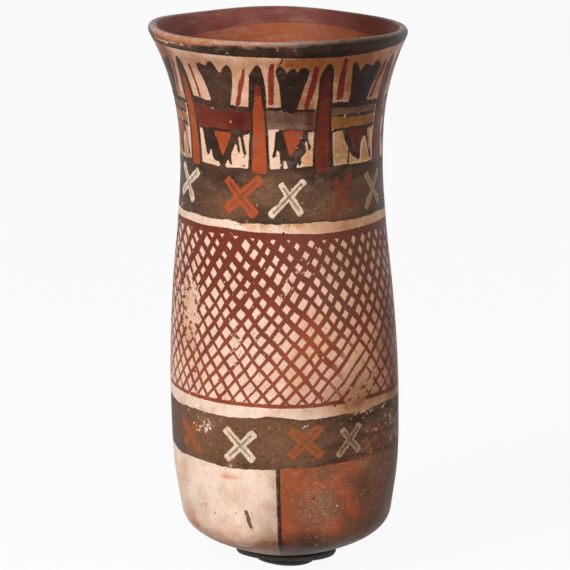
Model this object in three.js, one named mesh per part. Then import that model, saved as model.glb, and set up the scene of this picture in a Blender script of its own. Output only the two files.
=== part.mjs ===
// A tall hand-built pottery beaker with a flared mouth, standing on two dark pressed pieces of putty.
// Millimetres, +Z up. The painted front faces -Y, and the origin lies on the table under the vessel's foot.
import * as THREE from "three";

// Outline of the fired wall: each ring lies its rise above the ring before it
const UNDERSIDE_RADIUS = 22;
const UNDERSIDE_RISE = 3.5;
const HEEL_RADIUS = 40;
const HEEL_RISE = 14.8;
const FLANK_RADIUS = 42.3;
const FLANK_RISE = 15.5;
const BELLY_RADIUS = 43.3;
const BELLY_RISE = 24;
const SHOULDER_RADIUS = 41.55;
const SHOULDER_RISE = 46;
const NECK_RADIUS = 39.3;
const NECK_RISE = 25;
const WAIST_RADIUS = 38.1;
const WAIST_RISE = 23;
const FLARE_RADIUS = 40.25;
const FLARE_RISE = 25;
const BELL_RADIUS = 44.65;
const BELL_RISE = 15;
const LIP_RADIUS = 48.5;
const LIP_RISE = 8.7;

// Slopes of the outline, in millimetres of radius to each millimetre of height
const HEEL_SLOPE = 0.14;
const LIP_SLOPE = 0.46;
// Slope of the underside where it turns up into the heel, in height to radius
const UNDERSIDE_SLOPE = 0.347;
// Roundness of the heel: lengths of its curve's two handles, as shares of the distance that it spans
const HEEL_START_HANDLE = 0.61;
const HEEL_END_HANDLE = 0.255;

// Thickness of the wall at three places: between them it changes evenly
const FLOOR_THICKNESS = 7;
const WALL_THICKNESS = 5;
const LIP_THICKNESS = 3.6;

// The hand-built body leans to the left and bows a little. Its mouth lies further to the left,
// and its lip rises and falls round the mouth.
const LEAN = -2.95;
const BOW = -0.8;
const MOUTH_SHIFT = -0.55;
const LIP_WAVES = [
  // height of the wave at the lip, waves in a turn, and the angle of its crest from the front
  { height: 0.82, count: 1, crest: -36 },
  { height: 0.19, count: 2, crest: 24 },
  { height: 0.23, count: 3, crest: 44 },
  { height: 0.16, count: 4, crest: -2 },
  { height: 0.15, count: 5, crest: -32 },
];

// Putty: a pad dished to the underside, on a smaller lump that lies on the table
const SEAT_GAP = 0.3;
const PAD_CORE = 1.2;
const PAD_WIDTH = 38.2;
const PAD_DEPTH = 27.5;
const LUMP_THICKNESS = 1.9;
const LUMP_WIDTH = 22.5;
const LUMP_DEPTH = 24;
const LUMP_SHIFT = -0.5;
const PRESSED_LOBES = [
  // share of the radius, lobes in a turn, and the angle of the first from the front
  { share: 0.05, count: 2, crest: 48 },
  { share: 0.03, count: 3, crest: 20 },
];

// Fineness of the faceted surfaces
const SEGMENTS = 64;
const FACET_RISE = 8.5;
const UNDERSIDE_STEPS = 4;
const HEEL_STEPS = 6;
const LIP_STEPS = 6;
const PUTTY_SEGMENTS = 48;
const PUTTY_EDGE_STEPS = 5;
const DISH_STEPS = 5;

const clay = new THREE.MeshStandardMaterial({ color: 0xc9a27c, roughness: 0.55, metalness: 0 });
const putty = new THREE.MeshStandardMaterial({ color: 0x1d1a18, roughness: 0.8, metalness: 0 });

// Rings from the heel to the lip as heights above the lowest point of the vessel
const RINGS = [
  [HEEL_RISE, HEEL_RADIUS],
  [FLANK_RISE, FLANK_RADIUS],
  [BELLY_RISE, BELLY_RADIUS],
  [SHOULDER_RISE, SHOULDER_RADIUS],
  [NECK_RISE, NECK_RADIUS],
  [WAIST_RISE, WAIST_RADIUS],
  [FLARE_RISE, FLARE_RADIUS],
  [BELL_RISE, BELL_RADIUS],
  [LIP_RISE, LIP_RADIUS],
].reduce((rings, [rise, radius]) => {
  const below = rings.length ? rings.at(-1).height : UNDERSIDE_RISE;
  return [...rings, { height: below + rise, radius }];
}, []);
const LIP_HEIGHT = RINGS.at(-1).height;
const WAIST_HEIGHT = UNDERSIDE_RISE + HEEL_RISE + FLANK_RISE + BELLY_RISE + SHOULDER_RISE + NECK_RISE + WAIST_RISE;
const VESSEL_HEIGHT_ON_PUTTY = LUMP_THICKNESS + PAD_CORE + 2 * SEAT_GAP;

// Slope of the outline at a ring, from the spans on both sides of it, weighted by their heights
function ringSlope(index) {
  if (index === 0) return HEEL_SLOPE;
  if (index === RINGS.length - 1) return LIP_SLOPE;
  const [below, ring, above] = RINGS.slice(index - 1, index + 2);
  const lower = ring.height - below.height;
  const upper = above.height - ring.height;
  const lowerSlope = (ring.radius - below.radius) / lower;
  const upperSlope = (above.radius - ring.radius) / upper;
  return (upper * lowerSlope + lower * upperSlope) / (lower + upper);
}

// The outer radius over a span between two rings, as a smooth cubic curve: share runs from 0 to 1
function spanPoint(index, share) {
  const below = RINGS[index];
  const above = RINGS[index + 1];
  const rise = above.height - below.height;
  const rest = 1 - share;
  const radius =
    (1 + 2 * share) * rest * rest * below.radius +
    share * rest * rest * rise * ringSlope(index) +
    share * share * (3 - 2 * share) * above.radius -
    share * share * rest * rise * ringSlope(index + 1);
  return new THREE.Vector2(radius, below.height + share * rise);
}

// The convex underside, from the axis to where the heel begins
function undersideCurve() {
  const edge = new THREE.Vector2(UNDERSIDE_RADIUS, UNDERSIDE_RISE);
  const middle = new THREE.Vector2(UNDERSIDE_RADIUS / 2, 0);
  const handle = new THREE.Vector2(1, UNDERSIDE_SLOPE).normalize().multiplyScalar(UNDERSIDE_RADIUS / 3);
  return new THREE.CubicBezierCurve(new THREE.Vector2(0, 0), middle, edge.clone().sub(handle), edge);
}

// The rounded heel, from the edge of the underside to the lowest ring of the wall
function heelCurve() {
  const start = new THREE.Vector2(UNDERSIDE_RADIUS, UNDERSIDE_RISE);
  const end = new THREE.Vector2(RINGS[0].radius, RINGS[0].height);
  const span = start.distanceTo(end);
  const leaving = new THREE.Vector2(1, UNDERSIDE_SLOPE).normalize().multiplyScalar(span * HEEL_START_HANDLE);
  const arriving = new THREE.Vector2(HEEL_SLOPE, 1).normalize().multiplyScalar(span * HEEL_END_HANDLE);
  return new THREE.CubicBezierCurve(start, start.clone().add(leaving), end.clone().sub(arriving), end);
}

// The outer outline from the lowest point up to the lip
function outerOutline() {
  const points = [
    ...undersideCurve().getPoints(UNDERSIDE_STEPS),
    ...heelCurve().getPoints(HEEL_STEPS).slice(1),
  ];
  for (let index = 0; index < RINGS.length - 1; index++) {
    const steps = Math.ceil((RINGS[index + 1].height - RINGS[index].height) / FACET_RISE);
    for (let step = 1; step <= steps; step++) points.push(spanPoint(index, step / steps));
  }
  return points;
}

// Unit directions that point into the clay, square to the outline
function inwardNormals(points) {
  return points.map((point, index) => {
    if (index === 0) return new THREE.Vector2(0, 1);
    if (index === points.length - 1) return new THREE.Vector2(-1, LIP_SLOPE).normalize();
    const along = points[index + 1].clone().sub(points[index - 1]).normalize();
    return new THREE.Vector2(-along.y, along.x);
  });
}

// Thickness of the clay at a height on the outer outline
function thicknessAt(height) {
  const heelTop = RINGS[0].height;
  if (height < heelTop) {
    return THREE.MathUtils.mapLinear(height, 0, heelTop, FLOOR_THICKNESS, WALL_THICKNESS);
  }
  if (height < WAIST_HEIGHT) return WALL_THICKNESS;
  return THREE.MathUtils.mapLinear(height, WAIST_HEIGHT, LIP_HEIGHT, WALL_THICKNESS, LIP_THICKNESS);
}

// The half-round lip that joins the outer end of the wall to the inner one
function lipPoints(outerEnd, inward) {
  const half = LIP_THICKNESS / 2;
  const centre = outerEnd.clone().addScaledVector(inward, half);
  const upward = new THREE.Vector2(inward.y, -inward.x);
  const points = [];
  for (let step = 1; step < LIP_STEPS; step++) {
    const turn = (Math.PI * step) / LIP_STEPS;
    points.push(
      centre.clone().addScaledVector(inward, -half * Math.cos(turn)).addScaledVector(upward, half * Math.sin(turn)),
    );
  }
  return points;
}

// A profile turned about +Z. Its angle is 0 at the front and grows towards +X.
function turned(profile, segments) {
  return new THREE.LatheGeometry(profile, segments).rotateX(Math.PI / 2);
}

// Moves every vertex by a rule that is given its place and its angle from the front
function reshape(geometry, rule) {
  const position = geometry.getAttribute("position");
  const point = new THREE.Vector3();
  for (let index = 0; index < position.count; index++) {
    point.fromBufferAttribute(position, index);
    rule(point, Math.atan2(point.x, -point.y));
    position.setXYZ(index, point.x, point.y, point.z);
  }
  geometry.computeVertexNormals();
  return geometry;
}

// Sum of waves round the turn, each with its crest at an angle from the front
function wavesAt(angle, waves, sizeOf) {
  return waves.reduce(
    (sum, wave) => sum + sizeOf(wave) * Math.cos(wave.count * (angle - THREE.MathUtils.degToRad(wave.crest))),
    0,
  );
}

function vesselGeometry() {
  const outer = outerOutline();
  const normals = inwardNormals(outer);
  const inner = outer.map((point, index) => point.clone().addScaledVector(normals[index], thicknessAt(point.y)));
  const lip = lipPoints(outer.at(-1), normals.at(-1));
  const profile = [...outer, ...lip, ...inner.reverse()];
  profile.at(0).x = 0;
  profile.at(-1).x = 0;
  return reshape(turned(profile, SEGMENTS), (point, angle) => {
    const share = point.z / LIP_HEIGHT;
    const mouthShare = Math.max(0, (point.z - WAIST_HEIGHT) / (LIP_HEIGHT - WAIST_HEIGHT));
    const rimShare = mouthShare * mouthShare;
    point.x += LEAN * share + BOW * share * (1 - share) + MOUTH_SHIFT * rimShare * rimShare;
    point.z += rimShare * wavesAt(angle, LIP_WAVES, (wave) => wave.height);
  });
}

// Height of the vessel's underside above the table at a distance from its axis
function undersideHeight(radius) {
  const curve = undersideCurve();
  let low = 0;
  let high = 1;
  while (high - low > 1e-6) {
    const middle = (low + high) / 2;
    if (curve.getPoint(middle).x < radius) low = middle;
    else high = middle;
  }
  return VESSEL_HEIGHT_ON_PUTTY + curve.getPoint(low).y;
}

// A flat pressed piece with a rounded edge. Its radius is 1, and its height runs from 0 to 1.
function pressedProfile(edge) {
  const points = [new THREE.Vector2(0, 0)];
  for (let step = 0; step <= PUTTY_EDGE_STEPS; step++) {
    const turn = (Math.PI * step) / PUTTY_EDGE_STEPS;
    points.push(new THREE.Vector2(1 - edge + edge * Math.sin(turn), (1 - Math.cos(turn)) / 2));
  }
  for (let step = 1; step <= DISH_STEPS; step++) {
    points.push(new THREE.Vector2((1 - edge) * (1 - step / DISH_STEPS), 1));
  }
  return points;
}

// Stretches a pressed piece to its width and depth, and sets it between a bottom and a top
function pressedPiece(width, depth, edge, bottom, topAt) {
  return reshape(turned(pressedProfile(edge), PUTTY_SEGMENTS), (point, angle) => {
    const spread = 1 + wavesAt(angle, PRESSED_LOBES, (lobe) => lobe.share);
    point.x *= (width / 2) * spread;
    point.y *= (depth / 2) * spread;
    const top = topAt(Math.hypot(point.x, point.y));
    point.z = bottom + point.z * (top - bottom);
  });
}

function padGeometry() {
  const bottom = LUMP_THICKNESS + SEAT_GAP;
  return pressedPiece(PAD_WIDTH, PAD_DEPTH, 0.08, bottom, (radius) => undersideHeight(radius) - SEAT_GAP);
}

function lumpGeometry() {
  return pressedPiece(LUMP_WIDTH, LUMP_DEPTH, 0.1, 0, () => LUMP_THICKNESS);
}

function namedMesh(name, geometry, material) {
  const mesh = new THREE.Mesh(geometry, material);
  mesh.name = name;
  return mesh;
}

const vessel = namedMesh("vessel", vesselGeometry(), clay);
vessel.position.z = VESSEL_HEIGHT_ON_PUTTY;

const pad = namedMesh("support_pad", padGeometry(), putty);

const lump = namedMesh("support_lump", lumpGeometry(), putty);
lump.position.x = LUMP_SHIFT;

const support = new THREE.Group();
support.add(pad, lump);

const beaker = new THREE.Group();
beaker.add(support, vessel);

export default beaker;
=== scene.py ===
import math
from functools import partialmethod

import bmesh
import bpy
import numpy as np
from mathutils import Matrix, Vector, noise


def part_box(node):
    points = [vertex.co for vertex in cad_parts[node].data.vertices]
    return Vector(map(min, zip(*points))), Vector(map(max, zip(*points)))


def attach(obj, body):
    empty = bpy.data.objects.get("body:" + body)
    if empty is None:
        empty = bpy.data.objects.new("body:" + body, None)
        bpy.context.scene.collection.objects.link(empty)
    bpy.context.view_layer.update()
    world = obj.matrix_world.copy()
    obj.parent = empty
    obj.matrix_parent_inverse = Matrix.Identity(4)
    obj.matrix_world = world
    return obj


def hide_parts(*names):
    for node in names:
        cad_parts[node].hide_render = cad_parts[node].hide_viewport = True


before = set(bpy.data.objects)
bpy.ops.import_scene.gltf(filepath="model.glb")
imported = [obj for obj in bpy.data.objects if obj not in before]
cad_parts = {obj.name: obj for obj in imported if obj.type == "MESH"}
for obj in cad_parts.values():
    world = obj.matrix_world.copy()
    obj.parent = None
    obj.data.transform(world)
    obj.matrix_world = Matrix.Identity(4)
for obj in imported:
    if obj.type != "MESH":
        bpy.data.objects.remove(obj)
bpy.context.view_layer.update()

MM = 0.001
PHOTO_SIDE = 570
SEED = 7

# Outline of the fired wall in millimetres, as in the solid: rise above the ring below, and outer radius
UNDERSIDE_RADIUS, UNDERSIDE_RISE, UNDERSIDE_SLOPE = 22.0, 3.5, 0.347
HEEL_START_HANDLE, HEEL_END_HANDLE = 0.61, 0.255
RING_SPANS = [
    (14.8, 40.0),
    (15.5, 42.3),
    (24.0, 43.3),
    (46.0, 41.55),
    (25.0, 39.3),
    (23.0, 38.1),
    (25.0, 40.25),
    (15.0, 44.65),
    (8.7, 48.5),
]
WAIST_RING = 5
HEEL_SLOPE, LIP_SLOPE = 0.14, 0.46
FLOOR_THICKNESS, WALL_THICKNESS, LIP_THICKNESS = 7.0, 5.0, 3.6
LEAN, BOW, MOUTH_SHIFT = -2.95, -0.8, -0.55
# Waves of the lip: height, waves in a turn, and the angle of the crest from the front
LIP_WAVES = [(0.82, 1, -36.0), (0.19, 2, 24.0), (0.23, 3, 44.0), (0.16, 4, -2.0), (0.15, 5, -32.0)]
RING_HEIGHTS = UNDERSIDE_RISE + np.cumsum([rise for rise, radius in RING_SPANS])
RING_RADII = np.array([radius for rise, radius in RING_SPANS])
LIP_HEIGHT = RING_HEIGHTS[-1]
WAIST_HEIGHT = RING_HEIGHTS[WAIST_RING]
VESSEL_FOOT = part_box("vessel")[0][2] / MM

# Painted heights are counted from this height above the lowest point of the vessel
PAINT_DATUM = 4.3
# One scale round the wall for the whole design, in millimetres to the degree
MM_PER_DEGREE = 0.73
# Columns of the mesh round the wall, and the greatest distance from a pigment's edge that is stored
COLUMNS, FAR = 480, 4.0
TINY = 1e-12


def srgb(red, green, blue):
    """A colour given from 0 to 255, as the linear colour that a shader takes."""
    share = np.array([red, green, blue]) / 255
    linear = np.where(share <= 0.04045, share / 12.92, ((share + 0.055) / 1.055) ** 2.4)
    return (*linear.tolist(), 1.0)


def add_object(name, data):
    added = bpy.data.objects.new(name, data)
    bpy.context.collection.objects.link(added)
    return added


# Shape of the vessel


def ring_slopes():
    heights = np.diff(RING_HEIGHTS)
    slopes = np.diff(RING_RADII) / heights
    inner = (heights[1:] * slopes[:-1] + heights[:-1] * slopes[1:]) / (heights[1:] + heights[:-1])
    return np.array([HEEL_SLOPE, *inner, LIP_SLOPE])


def wall_radius(height):
    """Outer radius of the wall between the heel and the lip, by smooth cubic spans."""
    slopes = ring_slopes()
    index = np.clip(np.searchsorted(RING_HEIGHTS, height) - 1, 0, len(RING_HEIGHTS) - 2)
    rise = RING_HEIGHTS[index + 1] - RING_HEIGHTS[index]
    share = (height - RING_HEIGHTS[index]) / rise
    rest = 1 - share
    return (
        (1 + 2 * share) * rest**2 * RING_RADII[index]
        + share * rest**2 * rise * slopes[index]
        + share**2 * (3 - 2 * share) * RING_RADII[index + 1]
        - share**2 * rest * rise * slopes[index + 1]
    )


def bezier(points, steps):
    start, leave, arrive, end = (np.array(point, float) for point in points)
    share = np.linspace(0, 1, steps + 1)[:, None]
    rest = 1 - share
    return rest**3 * start + 3 * rest**2 * share * leave + 3 * rest * share**2 * arrive + share**3 * end


def foot_outline(underside_steps, heel_steps):
    """Underside and heel as (radius, height), from the axis to the lowest ring."""
    edge = np.array([UNDERSIDE_RADIUS, UNDERSIDE_RISE])
    out = np.array([1, UNDERSIDE_SLOPE]) / math.hypot(1, UNDERSIDE_SLOPE)
    flat = (UNDERSIDE_RADIUS / 2, 0)
    underside = bezier([(0, 0), flat, edge - out * UNDERSIDE_RADIUS / 3, edge], underside_steps)
    ring = np.array([RING_RADII[0], RING_HEIGHTS[0]])
    span = math.dist(edge, ring)
    up = np.array([HEEL_SLOPE, 1]) / math.hypot(HEEL_SLOPE, 1)
    leave, arrive = edge + out * span * HEEL_START_HANDLE, ring - up * span * HEEL_END_HANDLE
    return np.vstack([underside, bezier([edge, leave, arrive, ring], heel_steps)[1:]])


def thickness(height):
    heel_top = RING_HEIGHTS[0]
    foot = FLOOR_THICKNESS + (WALL_THICKNESS - FLOOR_THICKNESS) * height / heel_top
    mouth_share = (height - WAIST_HEIGHT) / (LIP_HEIGHT - WAIST_HEIGHT)
    mouth = WALL_THICKNESS + (LIP_THICKNESS - WALL_THICKNESS) * mouth_share
    return np.where(height < heel_top, foot, np.where(height < WAIST_HEIGHT, WALL_THICKNESS, mouth))


def inward_normals(outline):
    along = np.gradient(outline, axis=0)
    along /= np.linalg.norm(along, axis=1)[:, None]
    normals = np.column_stack([-along[:, 1], along[:, 0]])
    normals[0] = (0, 1)
    normals[-1] = np.array([-1, LIP_SLOPE]) / math.hypot(1, LIP_SLOPE)
    return normals


# Row spacing up the outside in millimetres: fine where the paint has small motifs
ROW_ZONES = [
    (RING_HEIGHTS[0], 38.0, 1.3),
    (38.0, 66.0, 2.0),
    (66.0, 132.0, 4.4),
    (132.0, 155.5, 2.0),
    (155.5, LIP_HEIGHT, 0.5),
]
OUTER_FOOT_STEPS, INNER_FOOT_STEPS = (6, 12), (4, 6)
INNER_STEP, LIP_ROWS = 8.0, 12


def vessel_rows():
    """Rows from the lowest point over the lip to the inner floor: radius, height and share of the lip."""
    spans = [
        np.linspace(low, high, round((high - low) / step), endpoint=False) for low, high, step in ROW_ZONES
    ]
    heights = np.concatenate([*spans, [LIP_HEIGHT]])
    outer = np.column_stack([wall_radius(heights), heights])[1:]
    outer = np.vstack([foot_outline(*OUTER_FOOT_STEPS), outer])
    coarse = np.arange(LIP_HEIGHT, RING_HEIGHTS[0], -INNER_STEP)[::-1]
    inner = np.vstack([foot_outline(*INNER_FOOT_STEPS), np.column_stack([wall_radius(coarse), coarse])])
    inner = inner + inward_normals(inner) * thickness(inner[:, 1])[:, None]
    normal = inward_normals(outer)[-1]
    half = LIP_THICKNESS / 2
    upward = np.array([normal[1], -normal[0]])
    share = np.linspace(0, 1, LIP_ROWS + 1)[1:-1]
    turn = math.pi * share[:, None]
    lip = outer[-1] + normal * half - half * np.cos(turn) * normal + half * np.sin(turn) * upward
    rows = np.vstack([outer, lip, inner[::-1]])
    over = np.concatenate([np.zeros(len(outer)), share, np.ones(len(inner))])
    return rows, over


def rim_share(height):
    """How much of the lip's waves a height takes: none up to the waist, all of them at the lip."""
    return np.clip((height - WAIST_HEIGHT) / (LIP_HEIGHT - WAIST_HEIGHT), 0, None) ** 2


def lip_wave(turn):
    return sum(size * np.cos(count * (turn - math.radians(crest))) for size, count, crest in LIP_WAVES)


def smooth_waves(angle, height, rng, most_round=8, most_up=0.12, waves=24):
    """Smooth random values of about 1 over the wall, which join up round the back."""
    value = np.zeros(len(angle))
    for _ in range(waves):
        count = rng.integers(0, most_round + 1)
        pitch = rng.uniform(-most_up, most_up)
        value += np.cos(np.radians(count * angle) + pitch * height + rng.uniform(0, 2 * math.pi))
    return value / math.sqrt(waves / 2)


# Painted design: a motif is a pigment and a closed outline of (angle from the front in degrees, height in mm)


def stroke(start, end, width):
    """A brush stroke between two points, with its width in millimetres."""
    scale = np.array([MM_PER_DEGREE, 1])
    start, end = np.array(start, float), np.array(end, float)
    along = (end - start) * scale
    along /= np.linalg.norm(along)
    side = np.array([-along[1], along[0]]) / scale * width / 2
    return [start - side, start + side, end + side, end - side]


def placed(motifs, old_middle, new_middle, stretch=1.0):
    """The same motifs round another part of the wall, widened by a stretch."""
    return [
        (pigment, [((angle - old_middle) * stretch + new_middle, height) for angle, height in points])
        for pigment, points in motifs
    ]


SPEAR_LEFT = [
    ("dark", [(-60.6, 150.5), (-60, 176), (-59, 184), (-57.6, 189), (-55.5, 191.5), (-53, 189.6),
        (-51.4, 184), (-50.9, 177), (-50.3, 165), (-50, 150.5)]),
    ("orange", [(-59.2, 149.6), (-58.8, 165), (-58.2, 176), (-57.2, 182), (-55.4, 184.5), (-54.2, 181),
        (-53.2, 174), (-52.7, 164), (-52.3, 149.6)]),
]
SPEAR_ORANGE = [
    ("dark", [(-18.2, 150.5), (-17.2, 165), (-16.5, 175), (-15.6, 182), (-14.2, 187.2), (-12, 190.2),
        (-10.2, 191), (-8.7, 189.6), (-7.8, 186), (-7.2, 181), (-6.9, 175), (-6.5, 165), (-6, 150.5)]),
    ("orange", [(-16.2, 149), (-15.2, 165), (-14.4, 172), (-13.6, 177), (-12.7, 181), (-11, 183.2),
        (-9.5, 181), (-8.9, 177), (-8.5, 172), (-8.2, 165), (-7.6, 149)]),
    ("maroon", [(-13.4, 179), (-12.8, 181.6), (-11, 184), (-9.3, 182), (-8.8, 179.4), (-10.8, 178.2)]),
]
SPEAR_MAROON = [
    ("dark", [(18, 150.5), (18.5, 165), (19.2, 175), (19.9, 184), (20.9, 188.2), (22.8, 190.6),
        (24.8, 190.7), (26.6, 189), (27.6, 184), (28.3, 177), (29.3, 165), (30.8, 150.5)]),
    ("maroon", [(19.8, 149), (20, 165), (20.8, 175), (21.4, 183), (22.4, 187.2), (23.7, 188.8), (25, 187),
        (25.9, 183), (26.6, 175), (27.2, 165), (27.7, 149)]),
]
PANEL_LEFT = [
    ("dark", [(-37.4, 171), (-38.5, 176), (-39.5, 180), (-41, 184), (-43, 187.6), (-42.6, 189.9),
        (-40.4, 190), (-38, 189.2), (-36.6, 189), (-35.2, 191), (-33.6, 191.3), (-32.1, 190.6),
        (-31.1, 188.4), (-29.8, 187), (-28.7, 187.4), (-27.5, 189), (-25.9, 190.4), (-24.1, 189.8),
        (-22.9, 187.5), (-23.4, 184.8), (-24.7, 181), (-25.7, 177), (-26.4, 174), (-27.5, 171)]),
    ("red", [(-49, 189), (-46.6, 189.2), (-45.9, 183), (-45, 176), (-46.8, 175.8), (-47.4, 182)]),
    ("red", [(-17.9, 189), (-15.9, 189.6), (-18.9, 181), (-21.6, 174.3), (-24.2, 174.3), (-20.9, 181)]),
    ("dark", [(-53, 176.6), (-45, 175.9), (-37, 175.2), (-37, 172.6), (-53, 173)]),
    ("dark", [(-27, 174.6), (-16.5, 174.2), (-16.5, 172.3), (-27, 172.3)]),
    ("maroon", [(-51.6, 173.6), (-40, 172.9), (-37, 172), (-30, 171.4), (-27, 172.2), (-16.4, 172.8),
        (-16.6, 165.2), (-30, 164.9), (-51, 165)]),
    ("dark", [(-50.6, 165.8), (-36, 165.4), (-17, 165.6), (-17, 163.6), (-50.6, 164.2)]),
    ("dark", [(-48.5, 165), (-47.7, 162.5), (-47.3, 160.5), (-46.2, 158), (-45.8, 155.5), (-45, 154),
        (-43.6, 154.4), (-43, 156.2), (-42, 156.6), (-41.4, 154.5), (-40.5, 153), (-38.8, 152.5),
        (-37.5, 152.7), (-36, 151.8), (-35, 150.6), (-33, 150.6), (-31.7, 152.6), (-30.5, 153.8),
        (-29.8, 152.6), (-28.6, 151.4), (-27.6, 152.2), (-28.4, 154.5), (-27.8, 156.5), (-26.6, 158),
        (-25.4, 159.6), (-24.8, 159.6), (-24.7, 157.5), (-23.8, 156), (-22.7, 156.6), (-23.3, 159),
        (-24, 161.6), (-23.3, 163.2), (-22.5, 161.5), (-21.6, 159), (-20.9, 156.5), (-19.8, 155),
        (-18.9, 155.8), (-19.5, 158.5), (-20.3, 161), (-21, 163.2), (-17.2, 163.6), (-17.2, 165)]),
    ("orange", [(-39.6, 163.8), (-27.2, 163.8), (-29.4, 160.5), (-32.2, 156.5), (-33.9, 154.6),
        (-35.6, 157), (-37.6, 160.8)]),
]
PANEL_MIDDLE = [
    ("red", [(-3, 192), (-4.8, 190), (-5.7, 186), (-6.1, 180), (-6, 175.2), (-3.2, 175.2), (-2.7, 180),
        (-2.4, 186), (-2.3, 190.5)]),
    ("dark", [(0.9, 171.8), (0.5, 173.5), (0.1, 176), (-0.4, 181), (-1.2, 185), (-1.9, 188), (-1.2, 190),
        (0.6, 190.3), (2.4, 189.4), (3.3, 187.6), (4.2, 189.2), (5.8, 189.8), (7.6, 189.3), (8.4, 187.2),
        (9.4, 188.9), (11.2, 189.8), (13.3, 189.4), (14.2, 187.2), (13.3, 184.6), (12.1, 181.5),
        (10.7, 178), (9.4, 175), (8.8, 171.8)]),
    ("dark", [(-0.9, 190.3), (0.3, 190.7), (2, 193), (1.2, 193.6)]),
    ("red", [(17, 190), (15.4, 184), (13.9, 179), (12.7, 175), (12.2, 173), (14.4, 173), (15.4, 175.2),
        (17.1, 179), (18.4, 184), (19.2, 189.5)]),
    ("dark", [(-6.7, 174.4), (0.5, 174.3), (0.5, 172.7), (-6.7, 172.9)]),
    ("dark", [(8.5, 173.6), (19, 173), (19, 171.8), (8.5, 172)]),
    ("grey", [(-7.2, 173.2), (0.8, 172.9), (1, 172), (8.6, 172), (9, 172.5), (19.4, 172.2), (19.4, 165.4),
        (-6.9, 165.7)]),
    ("dark", [(-1, 166.2), (18.8, 166.4), (18.8, 164.6), (-1, 164.8)]),
    ("dark", [(-2.4, 165), (-2.9, 163), (-3.2, 161), (-4, 157.5), (-4.8, 155.6), (-4, 154.7), (-2.6, 156.2),
        (-1.6, 158.7), (-0.9, 157.6), (-0.2, 155), (0, 150.6), (1.6, 150.6), (2, 154), (2.9, 154),
        (4.2, 150.6), (8.7, 150.6), (9.6, 153.6), (10.6, 151.4), (11.6, 152.6), (11.4, 155.2), (13, 156),
        (14, 158), (13.2, 160), (13.9, 162), (14.7, 160.8), (15.1, 158), (16, 157.4), (17.3, 159.4),
        (16.3, 159.9), (15.2, 162.5), (15.2, 165)]),
    ("orange", [(0.9, 165.2), (12.8, 165.3), (10.2, 160.6), (8, 157.8), (5.2, 155), (3, 160.4)]),
]
PANEL_RIGHT = [
    ("red", [(31.2, 192.6), (33.3, 192.3), (33.6, 188), (34.4, 182), (34.9, 176.3), (30.2, 175.8),
        (30.3, 181), (30.7, 187)]),
    ("dark", [(38, 172.5), (38.5, 178), (37.8, 182), (37.2, 186), (36.4, 189.9), (38.6, 190.7),
        (40.6, 189.2), (42, 187.2), (42.8, 186.4), (43.6, 188.8), (45.2, 189.3), (47, 189), (49, 188.3),
        (50.3, 187.5), (51.5, 189.1), (53.6, 189.9), (56, 189.2), (57.4, 187.5), (57, 185), (55.5, 182),
        (53.8, 179.5), (52.7, 177), (51.8, 175), (51.5, 172.5)]),
    ("red", [(61, 190.4), (62.4, 188), (60, 182.5), (57, 177), (55.8, 175), (53.2, 174.8), (55.5, 180),
        (58.5, 185.5)]),
    ("dark", [(28.6, 175.6), (38, 175), (52, 174.4), (62.8, 174.2), (62.8, 172), (28.6, 172.8)]),
    ("grey", [(28.4, 173.1), (45, 172.5), (62, 172.1), (62, 169.8), (28.4, 170.3)]),
    ("dark", [(28.8, 171.4), (36, 170.4), (61.6, 170.2), (61.6, 168.4), (36, 168.7), (28.8, 169.8)]),
    ("ochre", [(28.6, 170.3), (36, 169), (58.6, 168.7), (62, 167.5), (62, 165.2), (28.8, 165)]),
    ("dark", [(29, 165.3), (61.6, 165.4), (61.6, 163.4), (29, 163.7)]),
    ("tan", [(30.4, 164), (36.6, 164), (38, 160.8), (39.8, 158), (40.4, 155), (39.4, 151.3),
        (31.2, 151.3)]),
    ("tan", [(41.8, 156), (43.2, 154.6), (45.6, 152.9), (49, 151.9), (50.6, 151.2), (41.6, 151.3)]),
    ("tan", [(51, 151.3), (51.4, 155), (53.5, 159.6), (55.4, 156), (57.6, 153.5), (59.4, 151.2)]),
    ("tan", [(55.4, 163.4), (58, 163.2), (59.6, 156), (59.4, 153.8), (57.9, 156)]),
    ("dark", [(36.4, 164.3), (38, 160), (40.8, 157), (42.9, 154.9), (45.5, 152.9), (49, 151.9),
        (50.5, 152.6), (50.4, 157), (51.1, 159.6), (53.4, 161.2), (54.6, 160.6), (58.2, 153), (60.4, 150.8),
        (60.8, 153), (58.6, 158), (56.4, 162), (55.4, 164.2)]),
    ("dark", stroke((37, 160.6), (35.2, 155), 1.2)),
    ("dark", stroke((41.6, 157), (40.4, 151), 1.6)),
    ("maroon", [(39.6, 164.1), (53.8, 164), (50.9, 160.2), (48.9, 156), (46.9, 153.2), (43.4, 158),
        (41.3, 161.6)]),
    ("dark_over", stroke((46.6, 161), (46.9, 154), 1.3)),
]
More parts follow.
